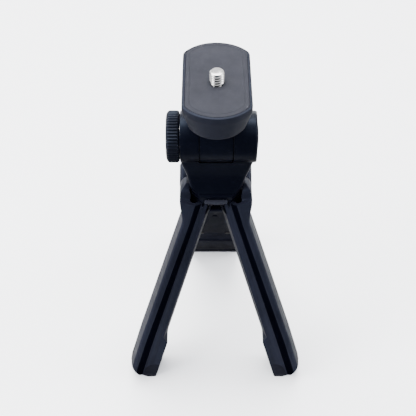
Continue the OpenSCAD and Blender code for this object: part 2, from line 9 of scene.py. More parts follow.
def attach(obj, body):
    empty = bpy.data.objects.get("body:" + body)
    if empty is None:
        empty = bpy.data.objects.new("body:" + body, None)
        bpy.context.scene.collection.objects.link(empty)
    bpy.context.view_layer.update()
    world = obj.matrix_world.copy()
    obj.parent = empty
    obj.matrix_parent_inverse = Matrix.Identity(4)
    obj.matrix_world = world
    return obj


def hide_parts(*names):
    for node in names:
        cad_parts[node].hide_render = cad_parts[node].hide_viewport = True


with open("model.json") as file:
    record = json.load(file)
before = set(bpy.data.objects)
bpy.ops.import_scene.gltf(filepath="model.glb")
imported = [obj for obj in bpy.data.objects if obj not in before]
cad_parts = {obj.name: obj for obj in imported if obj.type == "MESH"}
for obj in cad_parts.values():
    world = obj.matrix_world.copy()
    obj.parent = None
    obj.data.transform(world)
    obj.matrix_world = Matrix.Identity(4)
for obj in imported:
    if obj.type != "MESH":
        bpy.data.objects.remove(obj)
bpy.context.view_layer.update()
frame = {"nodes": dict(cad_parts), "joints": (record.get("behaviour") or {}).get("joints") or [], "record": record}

# Everything below is in millimetres, in the row frame; meshes are scaled once, when made.
# Lengths that the joints give come from the record. MID is how far the stud's axis lies in
# front of the origin, so y - MID is the frame's y for a place measured from the stud.
MM = 0.001
JOINTS = {j["name"]: j for j in frame["joints"]}
TILT = Vector(JOINTS["head_tilt"]["pos_m"]) / MM
MID = -TILT.y
AXIS_Z = TILT.z
BARREL_R, BARREL_LEFT, BARREL_RIGHT = 11.9, -16.5, 18.1
KNOB_IN, KNOB_OUT = -16.85, -22.85
HINGE_Z = JOINTS["leg_left_fold"]["pos_m"][2] / MM
HINGE_D = -JOINTS["leg_left_fold"]["pos_m"][0] / MM
REAR_Y = JOINTS["leg_rear_fold"]["pos_m"][1] / MM + MID
FRONT_OPEN = radians(JOINTS["leg_left_fold"]["range_deg"][1])
REAR_OPEN = radians(JOINTS["leg_rear_fold"]["range_deg"][1])


# ---- mesh helpers --------------------------------------------------------

def corner_path(corners, steps=4):
    """A closed outline through corners (x, y, d), each rounded from d before it to d after it."""
    out, n = [], len(corners)
    for i, (x, y, d) in enumerate(corners):
        c = Vector((x, y))
        a = Vector(corners[i - 1][:2]) - c
        b = Vector(corners[(i + 1) % n][:2]) - c
        da, db = min(d, a.length * 0.45), min(d, b.length * 0.45)
        pa, pb = c + a.normalized() * da, c + b.normalized() * db
        for k in range(steps + 1):
            t = k / steps
            out.append(pa * (1 - t) ** 2 + c * 2 * t * (1 - t) + pb * t * t)
    return out


def make_object(name, bm, sharp=32):
    """An object from a bmesh in millimetres, with edges sharper than the angle kept sharp."""
    bmesh.ops.recalc_face_normals(bm, faces=bm.faces)
    for f in bm.faces:
        f.smooth = True
    for e in bm.edges:
        e.smooth = len(e.link_faces) == 2 and e.calc_face_angle(0) < radians(sharp)
    bmesh.ops.scale(bm, vec=(MM, MM, MM), verts=bm.verts)
    mesh = bpy.data.meshes.new(name)
    bm.to_mesh(mesh)
    bm.free()
    obj = bpy.data.objects.new(name, mesh)
    bpy.context.scene.collection.objects.link(obj)
    return obj


def loft(rings, closed=False):
    """A bmesh skin over rings of equal length, capped at both ends or joined end to start."""
    bm = bmesh.new()
    rows = [[bm.verts.new(p) for p in ring] for ring in rings]
    n, pairs = len(rows[0]), list(zip(rows, rows[1:]))
    if closed:
        pairs.append((rows[-1], rows[0]))
    else:
        bm.faces.new(rows[0][::-1])
        bm.faces.new(rows[-1])
    for a, b in pairs:
        for i in range(n):
            j = (i + 1) % n
            bm.faces.new((a[i], a[j], b[j], b[i]))
    return bm


def rings_along_x(profile, count, centre):
    """Circles round the X direction at each (x, r)."""
    return [[centre + Vector((x, r * cos(2 * pi * k / count), r * sin(2 * pi * k / count)))
             for k in range(count)] for x, r in profile]


def extrude(outline, axis, low, high):
    """A prism: the outline lies across the axis, as (y, z), (x, z) or (x, y)."""
    place = {"x": lambda p, t: Vector((t, p[0], p[1])),
             "y": lambda p, t: Vector((p[0], t, p[1])),
             "z": lambda p, t: Vector((p[0], p[1], t))}[axis]
    return loft([[place(p, low) for p in outline], [place(p, high) for p in outline]])


def box_mesh(low, high):
    x0, y0, z0 = low
    x1, y1, z1 = high
    return loft([[Vector((x0, y0, z)), Vector((x1, y0, z)), Vector((x1, y1, z)), Vector((x0, y1, z))]
                 for z in (z0, z1)])


def combine(base, other, how):
    """Boolean of two bmeshes; returns a new bmesh."""
    objs = []
    for bm in (base, other):
        bmesh.ops.recalc_face_normals(bm, faces=bm.faces)
        mesh = bpy.data.meshes.new("work")
        bm.to_mesh(mesh)
        bm.free()
        obj = bpy.data.objects.new("work", mesh)
        bpy.context.scene.collection.objects.link(obj)
        objs.append(obj)
    mod = objs[0].modifiers.new("cut", "BOOLEAN")
    mod.operation, mod.solver, mod.object = how, "EXACT", objs[1]
    bpy.context.view_layer.update()
    result = objs[0].evaluated_get(bpy.context.evaluated_depsgraph_get()).to_mesh()
    out = bmesh.new()
    out.from_mesh(result)
    for obj in objs:
        mesh = obj.data
        bpy.data.objects.remove(obj)
        bpy.data.meshes.remove(mesh)
    return out


def cut(base, *others):
    for other in others:
        base = combine(base, other, "DIFFERENCE")
    return base


def join(base, *others):
    for other in others:
        base = combine(base, other, "UNION")
    return base


def keep(base, *others):
    for other in others:
        base = combine(base, other, "INTERSECT")
    return base


def tidy(bm):
    """Merges doubled points and joins faces that lie flat against each other."""
    bmesh.ops.remove_doubles(bm, verts=bm.verts, dist=0.002)
    bmesh.ops.dissolve_limit(bm, angle_limit=radians(0.4), verts=bm.verts, edges=bm.edges)
    return bm


def soften(bm, width, angle):
    """Rounds every edge sharper than the angle."""
    tidy(bm)
    edges = [e for e in bm.edges
             if len(e.link_faces) == 2 and e.calc_face_angle(0) > radians(angle)]
    bmesh.ops.bevel(bm, geom=edges, offset=width, offset_type="OFFSET", segments=2,
                    profile=0.5, affect="EDGES", clamp_overlap=True)
    return bm


def node_mesh(node):
    """A CAD node's mesh as a bmesh in millimetres."""
    bm = bmesh.new()
    bm.from_mesh(frame["nodes"][node].data)
    bmesh.ops.scale(bm, vec=(1 / MM, 1 / MM, 1 / MM), verts=bm.verts)
    return bm


def flip_x(bm):
    bmesh.ops.scale(bm, vec=(-1, 1, 1), verts=bm.verts)
    bmesh.ops.reverse_faces(bm, faces=bm.faces)
    return bm


def moved(bm, matrix):
    bmesh.ops.transform(bm, matrix=matrix, verts=bm.verts)
    return bm


# ---- materials -----------------------------------------------------------

class Nodes:
    """A material's node tree, with short calls for the nodes used here."""

    def __init__(self, name):
        self.material = bpy.data.materials.new(name)
        self.material.use_nodes = True
        self.tree = self.material.node_tree
        self.shader = self.tree.nodes["Principled BSDF"]
        self.where = self.tree.nodes.new("ShaderNodeTexCoord").outputs["Object"]

    def link(self, a, b):
        self.tree.links.new(a, b)

    def noise(self, scale, detail=4, roughness=0.55, stretch=None):
        node = self.tree.nodes.new("ShaderNodeTexNoise")
        node.inputs["Scale"].default_value = scale
        node.inputs["Detail"].default_value = detail
        node.inputs["Roughness"].default_value = roughness
        source = self.where
        if stretch:
            mapping = self.tree.nodes.new("ShaderNodeMapping")
            mapping.inputs["Scale"].default_value = stretch
            self.link(self.where, mapping.inputs["Vector"])
            source = mapping.outputs["Vector"]
        self.link(source, node.inputs["Vector"])
        return node.outputs["Fac"]

    def ramp(self, source, low, high):
        node = self.tree.nodes.new("ShaderNodeValToRGB")
        for element, position, colour in zip(node.color_ramp.elements, (0.35, 0.65), (low, high)):
            element.position, element.color = position, (*colour, 1)
        self.link(source, node.inputs["Fac"])
        return node.outputs["Color"]

    def span(self, source, low, high, start=0.3, end=0.7):
        node = self.tree.nodes.new("ShaderNodeMapRange")
        for key, value in (("From Min", start), ("From Max", end), ("To Min", low), ("To Max", high)):
            node.inputs[key].default_value = value
        self.link(source, node.inputs["Value"])
        return node.outputs["Result"]

    def blend(self, factor, a, b):
        node = self.tree.nodes.new("ShaderNodeMix")
        node.data_type = "RGBA"
        self.link(factor, node.inputs["Factor"])
        self.link(a, node.inputs["A"])
        if isinstance(b, tuple):
            node.inputs["B"].default_value = (*b, 1)
        else:
            self.link(b, node.inputs["B"])
        return node.outputs["Result"]

    def bump(self, height, strength, distance):
        node = self.tree.nodes.new("ShaderNodeBump")
        node.inputs["Strength"].default_value = strength
        node.inputs["Distance"].default_value = distance
        self.link(height, node.inputs["Height"])
        return node.outputs["Normal"]

    def edges(self):
        geometry = self.tree.nodes.new("ShaderNodeNewGeometry")
        return self.span(geometry.outputs["Pointiness"], 0, 1, 0.52, 0.6)


def grey(value, blue):
    """A grey with its blue raised, and its green a little; the raised blue is a painted cool reflection of the
    surroundings.
    """
    return (value, value * (1 + (blue - 1) * 0.1), value * blue)


def moulded(name, value, rough, grain=2600, bump=0.18, blue=1.8, edge_wear_and_highlight=0.35, gloss=0.25):
    """Moulded plastic: fine spark-eroded grain, faint cloudiness, slightly paler edges, partly rubbed wear and
    partly a painted highlight.
    """
    n = Nodes(name)
    cloud = n.noise(38, 5)
    fine = n.noise(grain, 2, 0.6)
    base = n.ramp(cloud, grey(value * 0.82, blue), grey(value * 1.18, blue))
    # The paler edges are partly wear and partly a painted highlight where sharp edges catch the light.
    worn_and_lit_edges = n.blend(n.span(n.edges(), 0, edge_wear_and_highlight), base, grey(value * 1.7, blue))
    n.link(worn_and_lit_edges, n.shader.inputs["Base Color"])
    n.link(n.span(n.noise(160, 3), rough - 0.05, rough + 0.06), n.shader.inputs["Roughness"])
    n.link(n.bump(fine, bump, 0.00006), n.shader.inputs["Normal"])
    n.shader.inputs["Specular IOR Level"].default_value = gloss
    n.shader.inputs["Specular Tint"].default_value = (0.55, 0.7, 1, 1)
    return n.material


def rubber(name, value, blue, rough=0.72):
    """Anti-slip rubber: a soft stipple, no gloss, dusty variation."""
    n = Nodes(name)
    dust = n.noise(55, 6, 0.65)
    stipple = n.noise(1500, 2, 0.5)
    specks = n.span(n.noise(900, 1), 0, 0.25, 0.6, 0.72)
    base = n.ramp(dust, grey(value * 0.92, blue), grey(value * 1.07, blue))
    n.link(n.blend(specks, base, grey(value * 1.5, blue)), n.shader.inputs["Base Color"])
    n.link(n.span(n.noise(210, 3), rough - 0.06, rough + 0.08), n.shader.inputs["Roughness"])
    n.link(n.bump(stipple, 0.35, 0.00008), n.shader.inputs["Normal"])
    n.shader.inputs["Specular IOR Level"].default_value = 0.1
    return n.material


def metal(name, colour, rough, brushed=(1, 1, 14)):
    """Turned metal with fine tool marks and a few duller patches."""
    n = Nodes(name)
    marks = n.noise(900, 3, 0.6, stretch=brushed)
    patch = n.noise(120, 4)
    base = n.ramp(patch, tuple(c * 0.86 for c in colour), colour)
    n.link(base, n.shader.inputs["Base Color"])
    n.link(n.span(marks, rough - 0.06, rough + 0.1), n.shader.inputs["Roughness"])
    n.link(n.bump(marks, 0.12, 0.00004), n.shader.inputs["Normal"])
    n.shader.inputs["Metallic"].default_value = 1.0
    return n.material


BODY = moulded("body_plastic", 0.0012, 0.34, blue=3, gloss=0.1)
LEG = moulded("leg_plastic", 0.0062, 0.4, blue=1.9, gloss=0.1)
# A near-black plastic without gloss: painted shade for the steep walls beside the front legs' channels.
GROOVE_SHADE = moulded("groove_painted_shade", 0.0006, 0.5, blue=3, edge_wear_and_highlight=0, gloss=0)
CORE = moulded("core_plastic", 0.003, 0.5, grain=1800, bump=0.3, blue=2.4, gloss=0.05)
PLATE = moulded("plate_plastic", 0.0065, 0.46, blue=1.7, gloss=0.08)
KNOB = moulded("knob_plastic", 0.0025, 0.42, blue=2, gloss=0.12)
PAD = rubber("pad_rubber", 0.0155, 1.35)
FOOT = rubber("foot_rubber", 0.0045, 2.2, 0.6)
DARK_STEEL = metal("dark_steel", (0.012, 0.012, 0.015), 0.42)
STEEL = metal("steel", (0.4, 0.39, 0.38), 0.3)
STUD = metal("stud_steel", (0.42, 0.41, 0.4), 0.14, brushed=(1, 1, 30))
BRASS = metal("brass_insert", (0.5, 0.38, 0.18), 0.3)
WASHER = moulded("washer_plastic", 0.002, 0.5, gloss=0.05)
# A paler copy of the black body plastic: painted light on the upward faces of the pin cover's tab.
TAB_PAINTED_LIGHT = moulded("tab_painted_light", 0.013, 0.46, blue=1.5, gloss=0.1)


def tint(obj, material, place, inside):
    """Another material for the faces whose centre lies in a zone of the closed leg."""
    obj.data.materials.append(material)
    undo = place.inverted()
    for f in obj.data.polygons:
        centre = f.center / MM
        centre.x = -abs(centre.x)
        if inside(undo @ centre):
            f.material_index = len(obj.data.materials) - 1


def piece(name, bm, body, slot, material, *nodes, sharp=32):
    obj = make_object(name, bm, sharp)
    obj.data.materials.append(material)
    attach(obj, body)
    if nodes:
        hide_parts(*nodes)
    return obj


# ---- camera plate --------------------------------------------------------

PLATE_TOP, RIM_Z, SKIRT_Z = AXIS_Z + 32, AXIS_Z + 29, AXIS_Z + 19.5
FRONT, REAR, HALF_W, ARC_R = 25.0, 28.3, 15.0, 18.2
SKIRT_X, SKIRT_Y = 0.807, 0.952         # the skirt's lower outline, as parts of the rim's


def racetrack(side, tip, z, sx=1.0, sy=1.0):
    """The plate's outline: two arcs and two flat sides, with rounded corners."""
    w, rf, rr = HALF_W - side, ARC_R - side, ARC_R - tip
    ends = []
    for radius, middle, sign in ((rf, -FRONT + ARC_R, -1), (rr, REAR - ARC_R, 1)):
        reach = asin(w / radius)
        trim = reach - 1.6 / radius
        arc = [(radius * sin(trim * (k / 14 - 1)), middle + sign * radius * cos(trim * (k / 14 - 1)))
               for k in range(29)]
        corner = (w, middle + sign * radius * cos(reach))
        flat = (w, corner[1] - sign * 1.6)
        ends.append((arc, corner, flat))

    def bend(a, c, b):
        return [tuple((1 - t) ** 2 * a[i] + 2 * t * (1 - t) * c[i] + t * t * b[i] for i in (0, 1))
                for t in (0.2, 0.4, 0.6, 0.8, 1.0)]

    (arc_f, corner_f, flat_f), (arc_r, corner_r, flat_r) = ends
    pts = list(arc_f) + bend(arc_f[-1], corner_f, flat_f)
    pts += bend(flat_r, corner_r, arc_r[-1])
    pts += arc_r[::-1][1:]
    left = [(-x, y) for x, y in bend(arc_r[-1], corner_r, flat_r)]
    pts += left
    pts += [(-x, y) for x, y in bend(flat_f, corner_f, arc_f[-1])][:-1]
    return [Vector((x * sx, y * sy - MID, z)) for x, y in pts]


def circle_like(outline, radius, z):
    """The outline drawn in to a circle round the stud, point for point."""
    out = []
    for p in outline:
        a = atan2(p.y + MID, p.x)
        out.append(Vector((radius * cos(a), radius * sin(a) - MID, z)))
    return out


def round_ring(x, y, radius, z, count):
    """A level circle, placed from the stud's axis."""
    return [Vector((x + radius * cos(2 * pi * k / count), y - MID + radius * sin(2 * pi * k / count), z))
            for k in range(count)]


def taper(z):
    """How far the outline is drawn in at a height, along x and along y."""
    t = max(0.0, (RIM_Z - z) / (RIM_Z - SKIRT_Z))
    return 1 - (1 - SKIRT_X) * t, 1 - (1 - SKIRT_Y) * t


def skirt_ring(z, inset=0.0, tip=None):
    return racetrack(inset, inset if tip is None else tip, z, *taper(z))


inner = racetrack(2, 2, SKIRT_Z, SKIRT_X, SKIRT_Y)
inner_top = [Vector((p.x, p.y, RIM_Z)) for p in inner]
base_ring = racetrack(1.35, 0.35, 0)
body = loft([
    inner, skirt_ring(SKIRT_Z, 0.5), skirt_ring(SKIRT_Z + 0.12, 0.18), skirt_ring(SKIRT_Z + 0.45, 0.03),
    skirt_ring(SKIRT_Z + 0.8), skirt_ring(SKIRT_Z + 5), skirt_ring(RIM_Z - 0.5), skirt_ring(RIM_Z + 0.1),
    skirt_ring(RIM_Z + 1.4), skirt_ring(RIM_Z + 2.35), skirt_ring(RIM_Z + 2.65, 0.06, 0.03),
    skirt_ring(RIM_Z + 2.82, 0.2, 0.1), skirt_ring(RIM_Z + 2.9, 0.45, 0.2),
    racetrack(1.2, 0.3, PLATE_TOP - 0.1), racetrack(1.33, 0.34, PLATE_TOP - 0.2),
    racetrack(1.35, 0.35, PLATE_TOP - 1.2), circle_like(base_ring, 3.8, PLATE_TOP - 1.2),
    circle_like(base_ring, 3.8, RIM_Z), inner_top], closed=True)
BAY = (SKIRT_Z + 2.7, SKIRT_Z + 7.3)    # the room for the finger dial, low and high
dial_bay = loft([round_ring(0, 0, 13.05, z, 96) for z in BAY])
windows = [extrude(corner_path([(-5 - MID, BAY[0], 0.8), (5 - MID, BAY[0], 0.8),
                                (5 - MID, BAY[1], 0.8), (-5 - MID, BAY[1], 0.8)]),
                   "x", *sorted((s * 9.0, s * 18.0))) for s in (-1, 1)]
body = cut(body, dial_bay, *windows)
piece("plate_body", tidy(body), "head", "black_body", PLATE, "plate_shell", sharp=28)

pad_ring = racetrack(1.4, 0.4, 0)
pad = loft([
    racetrack(1.4, 0.4, PLATE_TOP - 1.19), racetrack(1.4, 0.4, PLATE_TOP - 0.2),
    racetrack(1.46, 0.46, PLATE_TOP - 0.05), racetrack(1.65, 0.65, PLATE_TOP),
    racetrack(3.1, 2.1, PLATE_TOP), racetrack(3.18, 2.18, PLATE_TOP - 0.09),
    racetrack(3.42, 2.42, PLATE_TOP - 0.09), racetrack(3.5, 2.5, PLATE_TOP),
    circle_like(pad_ring, 4.4, PLATE_TOP), circle_like(pad_ring, 4.0, PLATE_TOP - 0.07),
    circle_like(pad_ring, 3.8, PLATE_TOP - 0.3), circle_like(pad_ring, 3.8, PLATE_TOP - 1.19)],
    closed=True)
piece("pad", pad, "head", "pad_rubber", PAD, "plate_pad", sharp=40)


# ---- camera stud ---------------------------------------------------------

THREAD_R, ROOT_R, CORE_R, TIP_R = 3.175, 2.95, 3.0, 2.3
PITCH, DEPTH, TIP_ROUND = 1.27, 0.62, 0.9


def stud_radius(z, turn, thread_from, top):
    """The stud's radius at a height and a part of a turn: plain below, threaded above."""
    if z < thread_from:
        return CORE_R
    wave = abs(2 * (((z - thread_from) / PITCH - turn) % 1.0) - 1)
    r = THREAD_R - DEPTH * (1 - min(1.0, max(0.0, wave * 1.35 - 0.1)))
    r = ROOT_R + (r - ROOT_R) * min(1.0, (z - thread_from) / 0.4)
    drop = TIP_ROUND - min(top - z, TIP_ROUND)
    return min(r, TIP_R + sqrt(max(0.0, TIP_ROUND ** 2 - drop ** 2)))


def stud_mesh():
    top, foot, count = PLATE_TOP + 5.2, SKIRT_Z + 0.3, 72
    thread_from = PLATE_TOP - 2.4
    levels = [foot, foot + 0.3, thread_from - 0.3]
    z = thread_from
    while z < top - 0.02:
        levels.append(z)
        z += 0.09
    levels.append(top)
    rings = []
    for z in levels:
        ring = []
        for k in range(count):
            a = 2 * pi * k / count
            r = stud_radius(z, a / (2 * pi), thread_from, top)
            ring.append(Vector((r * cos(a), r * sin(a) - MID, z)))
        rings.append(ring)
    return loft(rings)


piece("stud", stud_mesh(), "screw", "stud_steel", STUD, "camera_screw", sharp=50)


def dial_mesh():
    """A toothed disc; each row is a height above its underside and how far its edge is drawn in."""
    low, teeth, steps = SKIRT_Z + 3, 48, 8
    rings = []
    for z, drop in ((0, 0.5), (0.12, 0.2), (0.4, 0), (3.6, 0), (3.88, 0.2), (4, 0.5)):
        ring = []
        for k in range(steps * teeth):
            a = 2 * pi * k / (steps * teeth)
            r = 12.5 - drop + 0.2 * cos(2 * pi * k / steps)
            ring.append(Vector((r * cos(a), r * sin(a) - MID, low + z)))
        rings.append(ring)
    return loft(rings)


piece("finger_dial", dial_mesh(), "screw", "knob_plastic", KNOB, "screw_dial")


# ---- knuckle, barrel and neck --------------------------------------------

AXIS = Vector((0, -MID, AXIS_Z))


def drum(x0, x1, edge0, edge1):
    """A barrel section with rounded ends, edge0 and edge1 wide."""
    turn = [pi / 2 * k / 4 for k in range(5)]
    profile = [(x0 + edge0 * (1 - sin(a)), BARREL_R - edge0 * (1 - cos(a))) for a in turn[::-1]]
    profile += [(x1 - edge1 * (1 - sin(a)), BARREL_R - edge1 * (1 - cos(a))) for a in turn]
    return loft(rings_along_x(profile, 128, AXIS))


WEB_X, WEB_Y = 7.4, 9.0                 # half sizes of the web between floor and barrel
floor = loft([racetrack(side, side, SKIRT_Z + rise, SKIRT_X, SKIRT_Y)
              for side, rise in ((2.3, 0), (2.15, 0.2), (2.15, 2.2))])
web = extrude(corner_path([(sx * WEB_X, sy * WEB_Y - MID, 1.3)
                           for sx, sy in ((-1, -1), (1, -1), (1, 1), (-1, 1))]),
              "z", AXIS_Z + 4, SKIRT_Z + 0.6)
knuckle = join(floor, web, drum(-WEB_X, WEB_X, 0.1, 0.1))
for x in (-7.6, 7.6):
    for y in (-14, 16):
        knuckle = cut(knuckle, loft([round_ring(x, y, 2.1, z, 32) for z in (SKIRT_Z - 1, SKIRT_Z + 1)]))
piece("knuckle", tidy(knuckle), "head", "black_body", BODY, "plate_base", sharp=28)


def between(table, z):
    """The value at z in a table of (z, value), on straight lines between its rows."""
    for (z0, v0), (z1, v1) in zip(table, table[1:]):
        if z <= z1:
            return v0 + (v1 - v0) * max(0.0, (z - z0) / (z1 - z0))
    return table[-1][1]


def neck_rings():
    """Level outlines of the neck, scooped below the barrel and with trimmed corners."""
    scoop_r, scoop_z, waist, low = 12.3, 119.5, 8.2, 110.0
    rings = []
    levels = [low, low + 0.15, low + 0.5] + [low + 1 + 0.75 * k for k in range(27)] + [AXIS_Z - 3]
    for z in levels:
        depth = waist
        if z < scoop_z:
            depth = waist + scoop_r - sqrt(scoop_r ** 2 - (scoop_z - z) ** 2)
        left = between([(110, -11.6), (121.5, -14.9), (126, BARREL_LEFT), (140, BARREL_LEFT)], z)
        right = between([(110, 11.6), (121.5, 15.7), (126, 17), (140, 17)], z)
        pull = 0.35 * max(0.0, 1 - (z - low) / 0.5) ** 2
        reach = 21 + 0.3 * (z - low)
        left, right, depth = left + pull, right - pull, depth - pull
        tl, tr = (max(1.0, side + depth - reach) for side in (-left, right))
        path = corner_path([(x, y, 0.9) for x, y in (
            (left, tl - depth), (left + tl, -depth), (right - tr, -depth), (right, tr - depth),
            (right, depth - tr), (right - tr, depth), (left + tl, depth), (left, depth - tl))], 3)
        rings.append([Vector((p.x, p.y - MID, z)) for p in path])
    return rings


KNUCKLE_ROOM = 7.9                      # half width of the gap that the knuckle turns in
yoke = join(loft(neck_rings()), drum(BARREL_LEFT, -KNUCKLE_ROOM, 0.35, 0.1),
            drum(KNUCKLE_ROOM, BARREL_RIGHT, 0.1, 0.5))
yoke = cut(yoke, loft(rings_along_x([(-KNUCKLE_ROOM, 12.25), (KNUCKLE_ROOM, 12.25)], 128, AXIS)))
piece("yoke_body", tidy(yoke), "hub", "black_body", BODY, "yoke", sharp=28)


# ---- lock knob -----------------------------------------------------------

def knob_mesh():
    """A drum round the tilt axis; each profile row is (x, radius, height of its ridges)."""
    ridges = 50
    count = ridges * 8
    profile = [(KNOB_IN - x, r, ridge) for x, r, ridge in (
        (0, 11.0, 0), (0.05, 11.3, 0), (0.2, 11.45, 0.1), (0.6, 11.5, 0.36), (1.0, 11.52, 0.46))]
    profile += [(KNOB_OUT + x, r, ridge) for x, r, ridge in (
        (1.7, 11.52, 0.46), (1.1, 11.44, 0.4), (0.55, 11.15, 0.2), (0.2, 10.75, 0.04),
        (0, 10.1, 0), (0, 8.4, 0), (0.15, 8.1, 0), (0.3, 7.7, 0), (1, 7.6, 0))]
    rings = []
    for x, base, ridge in profile:
        ring = []
        for k in range(count):
            a = 2 * pi * k / count
            wave = 0.5 + 0.5 * cos(ridges * a)
            r = base + ridge * (wave ** 0.7)
            ring.append(AXIS + Vector((x, r * cos(a), r * sin(a))))
        rings.append(ring)
    return loft(rings)


piece("lock_knob", knob_mesh(), "knob", "knob_plastic", KNOB, "knob", sharp=45)
disc = [(KNOB_OUT + x, r) for x, r in ((0.95, 7.45), (0.2, 7.45), (0.05, 7.25), (0, 6.9), (0, 6.2),
                                       (0.12, 6.05), (0.12, 5.85), (0, 5.7), (0.05, 2))]
piece("knob_disc", loft(rings_along_x(disc, 96, AXIS)), "knob", "knob_plastic", BODY, "knob_cap", sharp=50)
DOME_R, DOME_RISE = 46, 1.3
dome = [(BARREL_RIGHT + DOME_RISE - DOME_R + sqrt(DOME_R ** 2 - r * r), r)
        for r in (11.2, 10.6, 9.5, 8, 6, 4, 2, 0.4)]
piece("barrel_cap", loft(rings_along_x([(BARREL_RIGHT - 0.8, 5.5), (BARREL_RIGHT, 5.5), (BARREL_RIGHT, 11.7),
                                        (BARREL_RIGHT + 0.04, 11.7), (BARREL_RIGHT + 0.3, 11.6)]
                                       + dome, 128, AXIS)),
      "hub", "black_body", BODY, "end_cap", sharp=45)


# ---- legs ----------------------------------------------------------------

GAP, PADS_Z, KNEE_TOP, FLOOR_V, WALL = 0.3, 15.0, 109.5, 13.5, 1.8
FOOT_U, FOOT_LOW, FOOT_TOP, FOOT_ROUND = 7.3, -16.0, -1.0, 5.5
TOE_R = 11.5


def smooth(t):
    t = min(1.0, max(0.0, t))
    return t * t * (3 - 2 * t)


def mix(a, b, t):
    return a + (b - a) * t


def down(z):
    """How far down a leg a height is: 0 at the top of the taper, 1 at the pads."""
    return min(1.0, max(0.0, (92 - z) / (92 - PADS_Z)))


def leg_u(z):
    """Half width of the closed handle, with the shoulder by the hinges."""
    tuck = 3 * (1 - sqrt(max(0.0, 1 - ((z - 105) / 5) ** 2))) if z > 105 else 0
    return mix(13.2, 15, down(z)) + 4.6 * smooth((z - 90) / 15) - tuck


def leg_v(z):
    """Half depth of the closed handle."""
    return mix(16.8, 17.8, down(z))


def finger_gap(z):
    """0 where the closed legs meet, 1 where they stand apart."""
    return smooth((z - PADS_Z) / 3)


def inner_u(z):
    """Where a front leg's inner side starts, at the closed handle's middle."""
    return mix(GAP, 0.5, finger_gap(z))


def edge_u(z):
    return mix(GAP, 3.4, finger_gap(z))


def crease_u(z):
    return mix(7.1, 8.1, down(z))


def ridge_u(z):
    return mix(9.9, 12.4, down(z))


def shoulder(z):
    """Extra wall behind the shoulder."""
    return 3.1 * smooth((z - 93) / 11) - 2.8 * smooth((z - 104.5) / 5)


def front_ring(z):
    u, v = leg_u(z), leg_v(z)
    path = corner_path([
        (GAP, GAP, 0.35), (inner_u(z), 4, 1.2), (edge_u(z), FLOOR_V, 0.9), (crease_u(z), FLOOR_V, 0.35),
        (ridge_u(z), v, 2.3), (u + 0.32, v - 0.95, 1.1), (u, GAP, 0.6)])
    return [Vector((-p.x, -p.y, z)) for p in path]


def front_hollow(z):
    u, v = leg_u(z) - WALL - shoulder(z), leg_v(z) - WALL
    inner, ridge = inner_u(z) + WALL, min(mix(9.6, 12, down(z)) + WALL * 0.6, u - 1.2)
    pts = [(inner, -1), (inner, 4), (edge_u(z) + WALL, FLOOR_V - WALL), (crease_u(z) + 0.9, FLOOR_V - WALL),
           (ridge, v - 0.5), (u - 0.8, v - 0.7), (u, v - 1.6), (u, -1)]
    return [Vector((-a, -b, z)) for a, b in pts]


def rear_ring(z):
    u, v, start = leg_u(z), leg_v(z), -GAP - finger_gap(z)
    path = corner_path([(u, -start, 0.5), (u, v, 4.4), (-u, v, 4.4), (-u, -start, 0.5)], 8)
    return [Vector((p.x, p.y, z)) for p in path]


def rear_hollow(z):
    u, v = leg_u(z) - WALL - shoulder(z), leg_v(z) - WALL
    path = corner_path([(u, -1, 0.1), (u, v, 2.4), (-u, v, 2.4), (-u, -1, 0.1)])
    return [Vector((p.x, p.y, z)) for p in path]


LOW_LEVELS = [FOOT_LOW, 2, 14.7, 15.4, 16.0, 16.6, 17.2, 17.8, 18.4, 40, 65]
HIGH_LEVELS = [90 + 0.75 * k for k in range(27)]
LEVELS = LOW_LEVELS + HIGH_LEVELS
HOLLOW_LEVELS = [-2.6, PADS_Z, 16.5, 18, 90] + [93 + 1.5 * k for k in range(12)] + [KNEE_TOP + 1]


def toe_outline(reach, angle):
    """Keeps a closed leg above the ground line it stands on when open, with a rounded toe."""
    s = reach - TOE_R
    low = -(HINGE_Z + s * sin(angle)) / cos(angle) - 0.2
    pts = [(60, 30), (-reach - 1, 30), (-reach, -50)]
    pts += [(-s + TOE_R * cos(radians(a)), low + TOE_R + TOE_R * sin(radians(a)))
            for a in range(182, 271, 4)]
    return pts + [(60, low)]


def side_toe():
    """Keeps all but the sharp lower side edge of a front leg, which lies along the ground."""
    slope = tan(FRONT_OPEN) * sqrt(0.5)
    lean, side, rise, reach = atan(slope), 15.4, 5, 5
    edge_z = HINGE_Z - (HINGE_Z + (side - 2 * HINGE_D) * sqrt(0.5) * sin(FRONT_OPEN)) / cos(FRONT_OPEN)
    fall = atan(slope * cos(lean))
    pts = [(60, 150), (-side - 6, 150), (-side - 6, 60), (-side, 52)]
    for k in range(25):
        a = pi / 2 * k / 24
        along = reach * (1 - cos(a))
        pts.append((-side + along * cos(fall), rise * (1 - sin(a)) + along * sin(fall)))
    pts.append((60, (60 + side) * tan(fall) - 0.2))
    place = Matrix.Translation((0, 0, edge_z)) @ Matrix.Rotation(lean, 4, "X")
    return moved(extrude(pts, "y", -60, 60), place)


def foot_outline(u, low, top, grow=0.0):
    arc = [(-u + FOOT_ROUND + (FOOT_ROUND + grow) * cos(radians(a)),
            top - FOOT_ROUND + (FOOT_ROUND + grow) * sin(radians(a))) for a in range(180, 89, -6)]
    return [(0.2, low), (-u - grow, low)] + arc + [(0.2, top + grow)]


